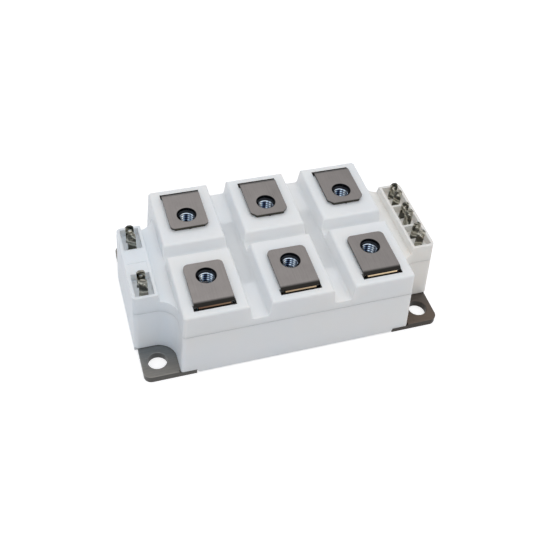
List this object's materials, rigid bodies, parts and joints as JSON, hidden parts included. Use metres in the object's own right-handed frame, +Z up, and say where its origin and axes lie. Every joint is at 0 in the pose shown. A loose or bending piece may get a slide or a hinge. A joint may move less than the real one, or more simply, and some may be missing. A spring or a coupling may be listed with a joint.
{
  "type": "igbt power module",
  "caption": "Power semiconductor module: metal base plate with corner screw holes, moulded case with grooved towers, bent screw terminals over captive nuts, and control tabs.",
  "frame": {"origin": "centre of the base plate's underside", "axes": "+X along the module, +Z up from the cooling face, -Y towards the viewer"},
  "size_m": [0.1086, 0.062, 0.0309],
  "materials": {
    "case": "satin moulded",
    "plate": "nickel plated, satin",
    "strip": "plated copper, satin",
    "nut": "zinc plated",
    "tab": "tinned brass",
    "seal": "cured adhesive",
    "solder": "matt",
    "ceramic": "sintered",
    "copper": "bare",
    "chip": "polished",
    "sensor": "sintered",
    "wire": "bright",
    "gel": "clear"
  },
  "bodies": {
    "root": {"base_plate": "plate", "frame_seal": "seal", "housing_frame": "case", "lid": "case", "terminal_1": "strip", "terminal_2": "strip", "terminal_3": "strip", "terminal_4": "strip", "terminal_5": "strip", "terminal_6": "strip", "terminal_nuts": "nut", "tab_1_gate": "tab", "tab_1_emitter": "tab", "tab_2_gate": "tab", "tab_2_emitter": "tab", "tab_3_gate": "tab", "tab_3_emitter": "tab", "tab_4_gate": "tab", "tab_4_emitter": "tab", "tab_5_sensor_a": "tab", "tab_5_sensor_b": "tab", "solder_layers": "solder", "ceramic_left": "ceramic", "ceramic_middle": "ceramic", "ceramic_right": "ceramic", "backing_left": "copper", "backing_middle": "copper", "backing_right": "copper", "tracks_left": "copper", "tracks_middle": "copper", "tracks_right": "copper", "igbt_chips": "chip", "diode_chips": "chip", "thermistor": "sensor", "bond_wires": "wire", "silicone_gel": "gel"}
  },
  "joints": []
}
